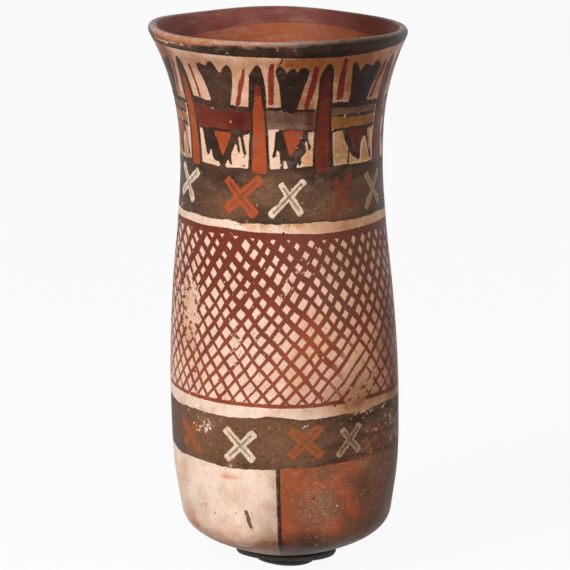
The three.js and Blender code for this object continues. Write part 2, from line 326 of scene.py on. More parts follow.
SPEARS_AND_PANELS = [
    *SPEAR_LEFT,
    *PANEL_LEFT,
    *SPEAR_ORANGE,
    *PANEL_MIDDLE,
    *SPEAR_MAROON,
    *PANEL_RIGHT,
    *placed(SPEAR_MAROON, 24.4, 68.2),
    *placed(PANEL_MIDDLE, 6.2, 87.4, 1.08),
    *placed(SPEAR_ORANGE, -12.1, 108),
    *placed(PANEL_LEFT, -34.8, 128.2, 0.78),
    *placed(SPEAR_MAROON, 24.4, 148.2),
    *placed(PANEL_RIGHT, 45.6, 167.8, 0.83),
    *placed(SPEAR_ORANGE, -12.1, 188.2),
    *placed(PANEL_MIDDLE, 6.2, 207.8, 1.04),
    *placed(SPEAR_MAROON, 24.4, 227.6),
    *placed(PANEL_LEFT, -34.8, 246.8, 0.78),
    *placed(SPEAR_ORANGE, -12.1, 266.6),
    *placed([(name.replace("maroon", "orange"), points) for name, points in PANEL_RIGHT], 45.6, 285.9, 0.8),
    ("grey", [(-22.5, 21.6), (-21, 20.9), (-19.9, 18.8), (-19, 16.3), (-18, 13.7), (-19.7, 14), (-21.6, 15.8),
        (-22.3, 18.2), (-22.9, 20.2)]),
    ("maroon", stroke((-21.2, 60.8), (-18.8, 60.5), 1.3)),
]

SLIP_COLOURS = {
    "cream": srgb(232, 204, 178),
    "orange": srgb(176, 78, 38),
    "burnt": srgb(158, 82, 40),
    "faint red": srgb(116, 56, 40),
    "tan": srgb(176, 140, 106),
}
# Crosses: colour, the ends of one arm, the ends of the other arm, stroke width, width of the dark line in it
UPPER_CROSSES = [
    ("cream", (-71.8, 149), (-58.4, 134.8), (-53, 147.8), (-74.8, 136.6), 3.1, 0.6),
    ("orange", (-32.3, 147), (-13.9, 132.7), (-10.7, 147.8), (-32.4, 134.2), 3.8, 0.7),
    ("cream", (-0.8, 145.7), (11.5, 133.5), (13.7, 146.6), (-6.9, 132.8), 2.9, 0.8),
    ("faint red", (30.4, 146), (44, 134.2), (42.8, 148.4), (28.3, 131.4), 3.2, 0),
    ("tan", (55.2, 146.4), (70.2, 133.6), (71, 146.2), (53.8, 132.6), 2.7, 0.4),
]
LOWER_CROSSES = [
    ("burnt", (-62.2, 52.4), (-47.4, 41.2), (-48, 52.4), (-61, 42.6), 3.1, 0.4),
    ("cream", (-31.2, 52.9), (-15.2, 40.6), (-14.4, 52.2), (-31.4, 40.2), 3.2, 0.7),
    ("burnt", (2.3, 53.2), (19.2, 42.3), (18.6, 54.4), (1.8, 42.3), 3.5, 1.1),
    ("tan", (29.2, 52.4), (40.6, 42.4), (41.2, 53.4), (26.5, 41.6), 2.6, 1.2),
    ("faint red", (49.4, 51.8), (60.4, 42.6), (60.4, 52.2), (49, 42.8), 2.6, 0),
    ("tan", (66, 52), (77, 42.8), (77.4, 52.4), (65.6, 42.6), 2.4, 0.6),
]
# Crosses round the back: angle of the first, angle between two, how many
BACK_FIRST, BACK_STEP, BACK_COUNT = 93.0, 29.0, 7
CROSS_REACH = 0.3


def all_crosses():
    """The crosses that the front shows, and more of the same round the back."""
    crosses = UPPER_CROSSES + LOWER_CROSSES
    for index in range(BACK_COUNT):
        middle = BACK_FIRST + index * BACK_STEP
        for row in (UPPER_CROSSES, LOWER_CROSSES):
            colour, *ends, width, line = row[(index + 1) % len(UPPER_CROSSES)]
            turn = middle - sum(angle for angle, height in ends) / len(ends)
            crosses.append((colour, *[(angle + turn, height) for angle, height in ends], width, line))
    return crosses


def around(angle, middle):
    """Angle from a middle, between -180 and 180."""
    return (angle - middle + 180) % 360 - 180


def cross_fields(angle, height):
    """For every place, its distance from the arms of the nearest cross, and that cross's form and colour."""
    crosses = all_crosses()
    ends = np.array([cross[1:5] for cross in crosses], float)
    middle = ends.mean(axis=1)
    ends = (ends - middle[:, None]) * (MM_PER_DEGREE, 1)
    across = around(angle[:, None], middle[None, :, 0]) * MM_PER_DEGREE
    up = height[:, None] - middle[None, :, 1]
    nearest = np.argmin(across**2 + up**2, axis=1)
    rows = np.arange(len(angle))
    offset = np.column_stack([across[rows, nearest], up[rows, nearest]])
    half_width = np.array([cross[5] for cross in crosses])[nearest] / 2
    fields = {}
    for name, start, end in (("arm_a", ends[:, 0], ends[:, 1]), ("arm_b", ends[:, 2], ends[:, 3])):
        along = end - start
        length = np.linalg.norm(along, axis=1)
        along = (along / length[:, None])[nearest]
        from_middle = offset - ((start + end) / 2)[nearest]
        run = (from_middle * along).sum(axis=1)
        side = from_middle[:, 1] * along[:, 0] - from_middle[:, 0] * along[:, 1]
        beyond = np.abs(run) - length[nearest] / 2 + half_width
        fields[name] = np.column_stack([side, beyond, np.zeros(len(angle))])
    reach = np.abs(ends).max(axis=1)[nearest] + CROSS_REACH * half_width[:, None]
    outside = (np.abs(offset) - reach).max(axis=1)
    line = np.array([cross[6] for cross in crosses])[nearest] / 2
    fields["cross_form"] = np.column_stack([outside, half_width, line])
    colours = np.array([SLIP_COLOURS[cross[0]] for cross in crosses])
    return fields, colours[nearest]


CORNER_CUT, CUT_SHARES, MOST_CUT = 0.6, (1.0, 0.45), 0.25


def rounded(path):
    """The closed path in millimetres with its corners cut twice, as a brush leaves them."""
    for share in CUT_SHARES:
        ahead = np.roll(path, -1, axis=0)
        length = np.maximum(np.linalg.norm(ahead - path, axis=1), TINY)[:, None]
        cut = np.minimum(MOST_CUT, CORNER_CUT * share / length)
        path = np.stack([path + (ahead - path) * cut, ahead - (ahead - path) * cut], 1).reshape(-1, 2)
    return path


def distance_to(points, angle, height):
    """Places near a closed outline, and their distance to it in millimetres, below zero inside it."""
    points = np.array(points, float)
    middle = points[:, 0].mean()
    path = rounded(np.column_stack([(points[:, 0] - middle) * MM_PER_DEGREE, points[:, 1]]))
    x = around(angle, middle) * MM_PER_DEGREE
    low, high = path.min(axis=0) - FAR, path.max(axis=0) + FAR
    near = np.flatnonzero((x > low[0]) & (x < high[0]) & (height > low[1]) & (height < high[1]))
    place = np.column_stack([x[near], height[near]])
    nearest = np.full(len(near), FAR)
    inside = np.zeros(len(near), bool)
    for start, end in zip(path, np.roll(path, -1, axis=0)):
        edge = end - start
        offset = place - start
        share = np.clip(offset @ edge / max(edge @ edge, TINY), 0, 1)
        nearest = np.minimum(nearest, np.linalg.norm(offset - share[:, None] * edge, axis=1))
        passes = (start[1] > place[:, 1]) != (end[1] > place[:, 1])
        slope = edge[0] / edge[1] if edge[1] else 0.0
        inside ^= passes & (place[:, 0] < start[0] + (place[:, 1] - start[1]) * slope)
    return near, np.where(inside, -nearest, nearest)


PIGMENTS = ["dark", "orange", "maroon", "red", "ochre", "tan", "grey", "dark_over"]
# Painted edges round the wall, each through a few (angle, height) points
LOWER_BAND = (
    [(-80, 39.5), (-50, 38.3), (-30, 37.5), (-5, 37.5), (2, 38.3), (40, 39.8), (150, 38.4), (-130, 38.8)],
    [(-80, 58.5), (-50, 57.5), (-20, 57.3), (-8, 58), (10, 57), (60, 59), (150, 57.8)],
)
UPPER_BAND = (
    [(-80, 131), (-60, 130.8), (-50, 130.3), (-40, 130.9), (-30, 131.3), (-22, 130.4), (0, 130.1),
     (60, 130.4), (150, 130.6)],
    [(-70, 151.3), (-20, 150.7), (20, 151.3), (60, 150.8), (170, 151.1)],
)
LIP_BAND = [
    (-75, 194.6), (-60, 194.2), (-30, 193.9), (0, 193.6), (25, 193), (45, 193.4), (70, 194), (170, 193.8),
]
LATTICE_LOW = [
    (-80, 63.2), (-50, 62.1), (-25, 61.7), (-5, 61.4), (10, 61.4), (28, 61.8), (120, 62.4),
]
LATTICE_HIGH = [
    (-60, 128), (-50, 127.7), (-40, 127.8), (-30, 127.9), (-20, 127.3), (0, 126.9), (22, 126.2),
    (33, 126.4), (50, 126.9), (170, 127.2),
]
FOOT_TOP = 48.0
FOOT_EDGES = [(-3.8, 88.0), (178.0, 266.0)]
INSIDE_EDGE, INSIDE_WAVE = 191.7, (1.2, 3, 172.0)
# How far the hand strays from the outlines, in degrees and millimetres, and from the bands' edges
OUTLINE_STRAY, BAND_STRAY, BAND_DRIFT = (0.18, 0.14), 0.09, 0.2


def edge_line(angle, points):
    angles, heights = zip(*points)
    return np.interp(angle, angles, heights, period=360)


def paint_fields(angle, height, radius, rng):
    """Signed distance in millimetres to the edge of each painted area, below zero inside it."""
    fields = {pigment: np.full(len(angle), FAR) for pigment in PIGMENTS}
    hand = [smooth_waves(angle, height, rng, most_round=60, most_up=0.5, waves=40) for _ in range(2)]
    slow = smooth_waves(angle, height, rng, most_round=14, most_up=0.03)
    for pigment, points in SPEARS_AND_PANELS:
        strayed = (angle + OUTLINE_STRAY[0] * hand[0], height + OUTLINE_STRAY[1] * hand[1])
        near, distance = distance_to(points, *strayed)
        fields[pigment][near] = np.minimum(fields[pigment][near], distance)
    for low, high in (LOWER_BAND, UPPER_BAND):
        level = height + BAND_STRAY * hand[1] + BAND_DRIFT * slow
        band = np.maximum(edge_line(angle, low) - level, level - edge_line(angle, high))
        fields["dark"] = np.minimum(fields["dark"], band)
    fields["dark"] = np.minimum(fields["dark"], edge_line(angle, LIP_BAND) - height)
    fields["above_lattice_low"] = height - edge_line(angle, LATTICE_LOW)
    fields["below_lattice_high"] = edge_line(angle, LATTICE_HIGH) - height
    panels = [np.minimum(around(angle, start), -around(angle, end)) for start, end in FOOT_EDGES]
    panel = np.maximum(*panels) * np.radians(np.maximum(radius, 1.0))
    fields["foot_panel"] = np.minimum(panel, FOOT_TOP - height)
    size, count, crest = INSIDE_WAVE
    fields["inside_edge"] = INSIDE_EDGE + size * np.cos(np.radians(count * (angle - crest))) - height
    return fields


LATTICE_LINES, LATTICE_STRAY = 46, 0.045
LATTICE_MIDDLE, LATTICE_SPAN = 95.0, 30.0
# Each family's count at the middle height, its rise, the rise's change in front, its bend, swing and lag
LATTICE_FAMILIES = {
    "leans_right": (9.83, -3.06, -1.3, 0.59, 0.46, 0.15),
    "leans_left": (1.57, 4.72, -0.69, 0.37, -0.65, 0.23),
}
FRONT_BLUR = 0.02


def lattice_phases(angle, height, rng):
    """Counts of the two slanting families of lines: a line runs wherever a count is a whole number."""
    turn = np.radians(angle)
    front = np.sqrt(np.cos(turn) ** 2 + FRONT_BLUR)
    rise = (height - LATTICE_MIDDLE) / LATTICE_SPAN
    phases = {}
    for name, (count, slope, front_slope, bend, swing, lag) in LATTICE_FAMILIES.items():
        slant = count + (slope + front_slope * front) * rise + bend * rise**2 + swing * np.sin(2 * turn - lag)
        hand = smooth_waves(angle, height, rng, most_round=24, most_up=0.25)
        phases[name] = LATTICE_LINES * angle / 360 + slant + LATTICE_STRAY * hand
    return phases


# Wear, stains and painted shade: soft spots of (angle, height, half width in degrees, half height in mm,
# strength)
STAINS = {
    "worn": [
        (-55, 94, 8, 13, 1.7), (-26, 82, 4, 7, 0.3), (-13, 86, 3, 5, 0.5), (-15, 104, 26, 12, 0.3),
        (18, 112, 22, 12, 0.3), (-22, 70, 22, 9, 0.3), (37, 62, 6, 3, 1.3), (42, 58.6, 10, 2.2, 0.9),
        (-73, 102, 10, 22, 0.8), (-52, 118, 6, 4, 0.5), (48, 69, 16, 8, 0.9), (20, 63, 12, 4, 0.6),
        (-42, 53.5, 6, 3.5, 1.2), (46, 47, 8, 6, 0.7), (-3, 49, 5, 4, 0.6), (-28, 39.5, 3, 2.5, 1),
        (-61, 197, 17, 1.4, 2.1), (68, 50, 12, 12, 0.7), (-24, 83, 4, 10, 0.5), (20, 191, 3.5, 2, 1),
        (19, 20, 9, 14, 1), (42, 38, 12, 4, 0.5), (-50, 46, 14, 12, 0.35), (-55, 64, 6, 3, 0.9),
        (12, 53, 4, 3, 0.6), (60, 30, 20, 18, 0.5), (-8, 140, 10, 8, 0.3), (-66, 176, 8, 16, 0.3),
    ],
    # Brown spots that are partly dirt and partly painted shade: under the flaring mouth, along the bottom by
    # the putty, and down the right side
    "dirt_and_shade": [
        (-30, 178, 34, 14, 0.35), (6, 180, 14, 14, 0.5), (48, 178, 34, 20, 0.75), (24, 190, 12, 8, 0.6),
        (-48, 188, 14, 8, 0.4), (-22, 169, 5, 4, 0.5), (-40, 191, 50, 4, 0.3), (16.5, 169, 3, 4, 0.9),
        (122, 195, 34, 9, 1.4), (-10, 3, 18, 6, 1.4), (74, 80, 13, 40, 0.6), (36, 68, 14, 8, 0.5),
        (-68, 182, 8, 12, 0.7), (20, 2, 26, 4, 0.7), (96, 100, 40, 130, 0.3), (60, 20, 30, 24, 0.4),
        (-45, 3, 50, 5, 0.5), (22, 192, 24, 3.5, 0.9), (-72, 192, 9, 4, 1.2), (45, 186, 26, 10, 0.6),
        (0, 0, 400, 4, 0.9), (-35, 191, 30, 5, 0.25), (8, 172, 14, 8, 0.3), (44, 118, 22, 12, 0.3),
        (70, 78, 16, 24, 0.55), (38, 60.5, 10, 3, 0.2), (16, 72, 16, 10, 0.12), (6, 80, 12, 12, 0.1),
        (60, 74, 16, 18, 0.25), (-72, 168, 8, 14, 0.25), (-8, 12, 8, 14, 0.6), (-58, 8, 16, 9, 0.5),
        (14, 9, 8, 7, 0.7), (35, 62, 22, 5, 0.45), (30, 129, 24, 3, 0.35),
    ],
    "ochre_stain": [
        (-14, 129.5, 9, 2, 1.2), (7, 130, 8, 2, 1.3), (38, 129, 7, 2, 1), (16, 176, 3, 3, 1),
        (13, 190, 9, 5, 0.5), (15.5, 154, 4, 4.5, 1.8), (15, 160, 6, 6, 0.4), (34, 157, 9, 8, 0.9),
        (46, 190, 22, 6, 0.45), (-25, 189, 9, 3, 0.4), (20, 118, 15, 8, 0.5), (18, 84, 12, 12, 0.4),
        (64, 192, 10, 4, 0.5), (-60, 190, 12, 5, 0.4),
    ],
    "purple": [
        (34, 116, 34, 16, 1), (74, 112, 26, 26, 0.7), (-72, 122, 20, 12, 0.4), (30, 92, 12, 14, 0.6),
        (-8, 82, 8, 10, 0.5),
    ],
    "warm": [
        (4, 76, 18, 13, 0.7), (16, 90, 11, 9, 0.6), (-45, 72, 14, 10, 0.5), (30, 84, 10, 10, 0.3),
        (-48, 8, 26, 6, 1), (-66, 30, 7, 10, 0.5), (-60, 197, 20, 1.6, 2.4), (-29.5, 33.8, 5.5, 0.9, 3),
        (-62, 12, 8, 5, 0.8),
    ],
    "browned": [
        (70, 22, 24, 30, 1), (34, 4, 40, 8, 1.1), (42, 30, 8, 8, 0.4), (8, 10, 6, 4, 0.5),
        (48, 52, 20, 6, 0.5), (84, 60, 16, 40, 0.5),
    ],
    "thin": [
        (-32, 134, 14, 5, 0.9), (34, 134, 20, 5, 0.8), (-30, 55, 40, 3.5, 0.9), (14, 48, 16, 9, 0.7),
        (-40, 141, 60, 9, 0.35), (-5, 146, 16, 5, 0.4), (50, 140, 60, 8, 0.5), (-45, 47, 26, 10, 1.2),
        (-8, 45, 20, 10, 0.9), (62, 47, 26, 8, 0.6), (-34, 180, 10, 12, 0.5), (-60, 180, 10, 20, 0.4),
    ],
    "aged": [
        (62, 105, 42, 95, 0.9), (-72, 191, 9, 4, 0.9), (-20, 182, 60, 16, 0.7), (-30, 158, 40, 8, 0.5),
        (20, 128.5, 16, 3, 0.5), (34, 60, 18, 8, 0.5), (14, 192, 30, 4, 0.6), (-58, 88, 8, 14, 0.55),
        (-62, 108, 10, 36, 0.3), (-72, 168, 8, 16, 0.55),
    ],
    "pitted": [
        (2, 185, 7, 6, 1), (3, 152, 6, 5, 1), (13, 158, 5, 8, 0.9), (-12, 150, 5, 3, 0.7),
        (-15, 129, 9, 2, 1), (8, 130, 8, 2, 1), (38, 129.5, 4, 2, 1), (2, 137, 8, 6, 0.7),
        (-3, 124, 8, 4, 0.5), (20, 190, 6, 3, 0.7), (-45, 20, 20, 14, 0.25), (10, 168, 6, 6, 0.5),
        (-25, 158, 8, 6, 0.3),
    ],
    "lip_worn": [
        (-46, 199, 28, 20, 1.2), (-62, 199, 12, 20, 0.7), (-4, 199, 19, 20, 0.45),
    ],
    "faded": [
        (38, 73, 9, 11, 1), (24, 70, 6, 5, 0.4), (58, 84, 5, 9, 0.5),
    ],
}
# Random spots round the back: how many of each kind, and the least and most of each number of a spot
BACK_STAINS = {
    "worn": 16, "dirt_and_shade": 10, "ochre_stain": 14, "purple": 3, "warm": 4, "browned": 6, "thin": 12, "aged": 6,
    "pitted": 10, "lip_worn": 2, "faded": 3,
}
BACK_SPOT = [(100, 260), (5, 195), (6, 22), (3, 16), (0.3, 0.9)]


def stain_fields(angle, height, rng):
    """Strength of each kind of wear, stain and painted shade: the spots that the front shows, and random ones
    at the back.
    """
    fields = {}
    for name, spots in STAINS.items():
        back = [[rng.uniform(*limits) for limits in BACK_SPOT] for _ in range(BACK_STAINS[name])]
        fields[name] = np.zeros(len(angle))
        for middle, level, wide, tall, strength in spots + back:
            distance = (around(angle, middle) / wide) ** 2 + ((height - level) / tall) ** 2
            fields[name] += strength * np.exp(-distance)
    return fields


# The vessel's mesh, which carries the painted design as attributes

DENT_SIZE = 0.14


def vessel_faces(rows):
    """Quads between neighbouring rows of points, and the triangles that close both poles."""
    ring = np.arange(COLUMNS)
    ahead = (ring + 1) % COLUMNS
    starts = np.arange(rows - 1)[:, None] * COLUMNS
    above = starts + COLUMNS
    quads = np.stack([starts + ring, starts + ahead, above + ahead, above + ring], axis=-1)
    last = (rows - 1) * COLUMNS
    bottom = np.column_stack([np.full(COLUMNS, rows * COLUMNS), ahead, ring])
    floor = np.column_stack([np.full(COLUMNS, rows * COLUMNS + 1), last + ring, last + ahead])
    return quads, np.vstack([bottom, floor])


def add_attribute(mesh, name, kind, domain, values):
    attribute = mesh.attributes.new(name, kind, domain)
    key = {"FLOAT": "value", "FLOAT_VECTOR": "vector", "FLOAT_COLOR": "color"}[kind]
    attribute.data.foreach_set(key, np.ascontiguousarray(values, np.float32).ravel())


def make_vessel():
    rows, over = vessel_rows()
    inner = (rows[1:-1, 0], rows[1:-1, 1], over[1:-1])
    radius, height, over = (np.repeat(values, COLUMNS) for values in inner)
    count = len(rows) - 2
    angle = np.tile((np.arange(COLUMNS) + 0.5) * 360 / COLUMNS - 180, count)
    turn = np.radians(angle)
    rng = np.random.default_rng(SEED)
    body = np.sin(np.clip(height / LIP_HEIGHT, 0, 1) * math.pi) * (over == 0)
    radius = radius + DENT_SIZE * body * smooth_waves(angle, height, rng, most_round=7, most_up=0.09)
    share = height / LIP_HEIGHT
    rim = rim_share(height)
    lean = LEAN * share + BOW * share * (1 - share) + MOUTH_SHIFT * rim**2
    lifted = height + rim * lip_wave(turn)
    places = np.column_stack([radius * np.sin(turn) + lean, -radius * np.cos(turn), lifted + VESSEL_FOOT])
    poles = [[0, 0, VESSEL_FOOT], [0, 0, rows[-1, 1] + VESSEL_FOOT]]
    quads, caps = vessel_faces(count)
    mesh = bpy.data.meshes.new("vessel_skin")
    points = np.vstack([places, poles]) * MM
    mesh.from_pydata(points.tolist(), [], quads.reshape(-1, 4).tolist() + caps.tolist())
    mesh.shade_smooth()

    painted = lifted - PAINT_DATUM
    angle = angle + MOUTH_SHIFT * rim**2 * np.cos(turn) / MM_PER_DEGREE
    fields = paint_fields(angle, painted, radius, rng)
    for pigment in PIGMENTS:
        fields[pigment] = np.where(over > 0, FAR, fields[pigment])
    fields["over_lip"] = over
    fields.update(stain_fields(angle, painted, rng))
    for name, values in fields.items():
        add_attribute(mesh, name, "FLOAT", "POINT", np.append(values, values[[0, -1]]))
    vectors, colours = cross_fields(angle, painted)
    for name, values in vectors.items():
        add_attribute(mesh, name, "FLOAT_VECTOR", "POINT", np.vstack([values, values[[0, -1]]]))
    add_attribute(mesh, "cross_colour", "FLOAT_COLOR", "POINT", np.vstack([colours, colours[[0, -1]]]))
    for name, phase in lattice_phases(angle, painted, rng).items():
        corners = phase[quads]
        corners[:, -1, 1:3] += LATTICE_LINES
        add_attribute(mesh, name, "FLOAT", "CORNER", np.append(corners.ravel(), np.zeros(caps.size)))

    vessel = add_object("vessel_skin", mesh)
    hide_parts("vessel")
    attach(vessel, "vessel")
    return vessel


# Putty: the two pressed pieces of the solid model, made finer and given a kneaded surface

PUTTY_CUTS, PUTTY_WELD = 3, 0.01
# Kneaded surface: depth in millimetres, features to the metre, and the noise's fall-off, fineness and octaves
PUTTY_DEPTH, PUTTY_SCALE, PUTTY_NOISE = 0.22, 220, (1, 2, 4)


def make_putty(node, material):
    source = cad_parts[node].data
    mesh = source.copy()
    mesh.name = node + "_skin"
    shape = bmesh.new()
    shape.from_mesh(mesh)
    bmesh.ops.remove_doubles(shape, verts=shape.verts, dist=PUTTY_WELD * MM)
    bmesh.ops.subdivide_edges(shape, edges=shape.edges, cuts=PUTTY_CUTS, use_grid_fill=True)
    heights = [vertex.co.z for vertex in shape.verts]
    bottom, top = min(heights), max(heights)
    shape.normal_update()
    for vertex in shape.verts:
        side = 1 - abs(vertex.normal.z)
        rough = noise.fractal(vertex.co * PUTTY_SCALE, *PUTTY_NOISE)
        level = math.sin(math.pi * (vertex.co.z - bottom) / (top - bottom))
        vertex.co += vertex.normal * (rough * PUTTY_DEPTH * MM * side * level)
    shape.to_mesh(mesh)
    shape.free()
    mesh.shade_smooth()
    piece = add_object(mesh.name, mesh)
    mesh.materials.clear()
    mesh.materials.append(material)
    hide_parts(node)
    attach(piece, "support")
    return piece


# Materials

# Noises of the clay: scale in features to the metre, detail, squeeze up the wall, roughness, middle taken off
CLAY_NOISES = {
    "wobble": (800, 4, 1, 0.55, 0.5),
    "line_wobble": (160, 2, 1, 0.55, 0.5),
    "arm_wobble": (230, 2, 1, 0.55, 0.5),
    "mottle": (120, 6, 1, 0.62),
    "level_streaks": (70, 5, 5, 0.65),
    "upright_streaks": (420, 3, 0.14, 0.55),
    "chips": (430, 5, 1, 0.7),
    "fine": (900, 4, 1, 0.65),
    "flecks": (1300, 3, 1, 0.7),
    "wiped": (640, 5, 2.6, 0.7),
    "scuff_and_sheen_streaks": (150, 6, 1.8, 0.7),
    "grain": (2400, 3, 1, 0.6),
}
# Ragged edge of a spot: its noise, with a scale that multiplies the spot's, its strength, half the soft edge
SPOT_NOISE, SPOT_RAGGED, SPOT_EDGE = (2.5, 4, 1, 0.7, 0.46), 1.1, 0.03
# How much a painted edge wavers, and half its soft edge in millimetres
WAVER, EDGE = 0.7, 0.12


class Nodes:
    """Short calls that add shader nodes to one material or world."""

    def __init__(self, owner):
        owner.use_nodes = True
        self.tree = owner.node_tree
        self.shader = self.tree.nodes.get("Principled BSDF")
        self.made = {}

    def add(self, kind, **settings):
        node = self.tree.nodes.new(kind)
        for name, value in settings.items():
            setattr(node, name, value)
        return node

    def named(self, name):
        """A noise of the clay, or else a value stored on the mesh."""
        if name not in self.made:
            if name in CLAY_NOISES:
                self.made[name] = self.noise(*CLAY_NOISES[name])
            else:
                self.made[name] = self.add("ShaderNodeAttribute", attribute_name=name).outputs["Fac"]
        return self.made[name]

    def put(self, socket, value):
        """Fills a socket: with a number, a colour, a socket, a name, or a sum of names with weights."""
        if isinstance(value, dict):
            value = self.sum(*[self.product(*pair) if pair[1] != 1 else pair[0] for pair in value.items()])
        if isinstance(value, str):
            value = self.named(value)
        if hasattr(value, "is_output"):
            self.tree.links.new(value, socket)
        else:
            socket.default_value = value

    def math(self, operation, first, *others):
        for other in others:
            node = self.add("ShaderNodeMath", operation=operation)
            self.put(node.inputs[0], first)
            self.put(node.inputs[1], other)
            first = node.outputs[0]
        return first

    sum = partialmethod(math, "ADD")
    less = partialmethod(math, "SUBTRACT")
    product = partialmethod(math, "MULTIPLY")
    power = partialmethod(math, "POWER")
    most = partialmethod(math, "MAXIMUM")
    least = partialmethod(math, "MINIMUM")

    def size(self, value):
        return self.math("ABSOLUTE", value, 0.0)

    def seen_white(self):
        """1 for the rays that see a white background, and 0 for those that light the object."""
        rays = self.add("ShaderNodeLightPath").outputs
        return self.most(rays["Is Camera Ray"], rays["Is Glossy Ray"], rays["Is Transmission Ray"])

    def parts(self, name):
        split = self.add("ShaderNodeSeparateXYZ")
        self.put(split.inputs[0], self.add("ShaderNodeAttribute", attribute_name=name).outputs["Vector"])
        return split.outputs

    def noise(self, scale, detail, squeeze=1.0, roughness=0.55, middle=0.0):
        mapping = self.add("ShaderNodeMapping")
        self.put(mapping.inputs["Vector"], self.add("ShaderNodeTexCoord").outputs["Object"])
        mapping.inputs["Scale"].default_value = (1, 1, squeeze)
        node = self.add("ShaderNodeTexNoise")
        self.put(node.inputs["Vector"], mapping.outputs[0])
        for name, value in (("Scale", scale), ("Detail", detail), ("Roughness", roughness)):
            node.inputs[name].default_value = value
        return self.less(node.outputs["Fac"], middle) if middle else node.outputs["Fac"]

    def cells(self, scale, **settings):
        node = self.add("ShaderNodeTexVoronoi", **settings)
        self.put(node.inputs["Vector"], self.add("ShaderNodeTexCoord").outputs["Object"])
        node.inputs["Scale"].default_value = scale
        return node.outputs

    def dots(self, scale, size, share):
        """Scattered ragged spots: cells to the metre, spot size in cells, and the share of cells with one."""
        cells = self.cells(scale)
        split = self.add("ShaderNodeSeparateColor")
        self.put(split.inputs[0], cells["Color"])
        finer, *settings = SPOT_NOISE
        ragged = self.product(self.noise(scale * finer, *settings), SPOT_RAGGED)
        past = self.less(self.sum(cells["Distance"], ragged), self.product(split.outputs[1], size))
        chosen = self.math("LESS_THAN", split.outputs[0], share)
        return self.product(self.ramp(past, SPOT_EDGE, -SPOT_EDGE), chosen)

    def ramp(self, value, low, high, from_low=0.0, from_high=1.0):
        node = self.add("ShaderNodeMapRange", clamp=True)
        for socket, setting in zip(node.inputs, (value, low, high, from_low, from_high)):
            self.put(socket, setting)
        return node.outputs["Result"]

    def span(self, name, value):
        return self.ramp(value, *SPANS[name])

    def painted(self, name, waver=WAVER):
        """Where a pigment lies: inside its stored edge, which wavers a little."""
        return self.ramp({name: 1, "wobble": waver}, EDGE, -EDGE)

    def blend(self, share, first, second, mode="MIX"):
        node = self.add("ShaderNodeMix", data_type="RGBA", blend_type=mode)
        self.put(node.inputs[0], share)
        self.put(node.inputs[6], first)
        self.put(node.inputs[7], second)
        return node.outputs[2]

    def layered(self, color, layers):
        """A colour with layers of tint blended over it, one after another."""
        for tint, weights, span, *scales in layers:
            color = self.blend(self.product(self.ramp(weights, *span), *scales), color, tint)
        return color

    def bump(self, height, depth, below=None):
        node = self.add("ShaderNodeBump")
        node.inputs["Distance"].default_value = depth * MM
        self.put(node.inputs["Height"], height)
        if below is not None:
            self.put(node.inputs["Normal"], below)
        return node.outputs[0]


CREAM, CREAM_WARM = srgb(238, 211, 192), srgb(222, 188, 164)
BLUSH, CLAY, OCHRE_STAIN = srgb(214, 158, 126), srgb(186, 126, 88), srgb(196, 138, 76)
# Lip colours: bare clay, a grey painted highlight for the crest, a pale painted highlight, and worn tan
LIP_BARE, LIP_HIGHLIGHT_GREY = srgb(190, 124, 88), srgb(144, 114, 99)
LIP_PALE_HIGHLIGHT, LIP_TAN = srgb(222, 186, 172), srgb(214, 158, 124)
DARK_DEEP, DARK_THIN = srgb(44, 29, 20), srgb(112, 76, 54)
# Dark paint: worn, and grey streaks that are partly scuffs and partly painted sheen
DARK_WORN, SCUFF_AND_SHEEN_GREY = srgb(152, 110, 84), srgb(122, 104, 94)
PAINTS = {
    "orange": (srgb(174, 76, 34), srgb(140, 64, 32)),
    "maroon": (srgb(124, 46, 30), srgb(94, 38, 26)),
    "red": (srgb(128, 42, 30), srgb(158, 70, 46)),
    "ochre": (srgb(184, 120, 60), srgb(136, 86, 44)),
    "tan": (srgb(198, 154, 110), srgb(166, 120, 78)),
    "grey": (srgb(140, 108, 88), srgb(100, 74, 58)),
}
LATTICE_MAROON, LATTICE_DEEP = srgb(117, 51, 35), srgb(96, 41, 31)
LATTICE_LIGHT, LATTICE_HAZE = srgb(154, 76, 52), srgb(222, 158, 130)
LATTICE_PURPLE, LATTICE_WARM = srgb(110, 65, 50), srgb(164, 84, 44)
FOOT_ORANGE, FOOT_BROWN = srgb(166, 80, 48), srgb(124, 74, 50)
FOOT_DEEP, FOOT_WORN, FOOT_RUBBED = srgb(94, 62, 42), srgb(164, 126, 98), srgb(130, 98, 74)
INSIDE_BAND, INSIDE_CLAY = srgb(122, 62, 62), srgb(172, 90, 58)
# The first brown is multiplied in for dirt and for painted shade, including the shade beside the foot's line
BROWN_DIRT_AND_SHADE, AGED_TINT, PIT = srgb(150, 116, 90), srgb(236, 204, 172), srgb(40, 28, 22)

# Layers: tint, what its share depends on, where that starts and ends with the shares there, what scales it
# Grey streaks over the paints, partly scuffs and partly painted sheen
SCUFF_AND_SHEEN_SHARE = {"scuff_and_sheen_streaks": 1, "pitted": 0.06}
CREAM_LAYERS = [
    (CREAM_WARM, "mottle", (0.38, 0.68)),
    (CLAY, "level_streaks", (0.62, 0.8, 0, 0.5)),
    (CREAM_WARM, "upright_streaks", (0.5, 0.75, 0, 0.3)),
    (BLUSH, "mottle", (0.35, 0.7, 0.2, 0.8), "warm"),
]
FOOT_LAYERS = [
    (FOOT_BROWN, "mottle", (0.4, 0.65)),
    (FOOT_DEEP, {"browned": 1, "mottle": 0.8}, (0.6, 1.3)),
    (FOOT_RUBBED, "mottle", (0.35, 0.62, 0.1, 0.75), "worn"),
    (FOOT_WORN, {"chips": 0.6, "wiped": 1, "worn": 0.16, "browned": -0.04}, (0.86, 1.04, 0, 0.8)),
]
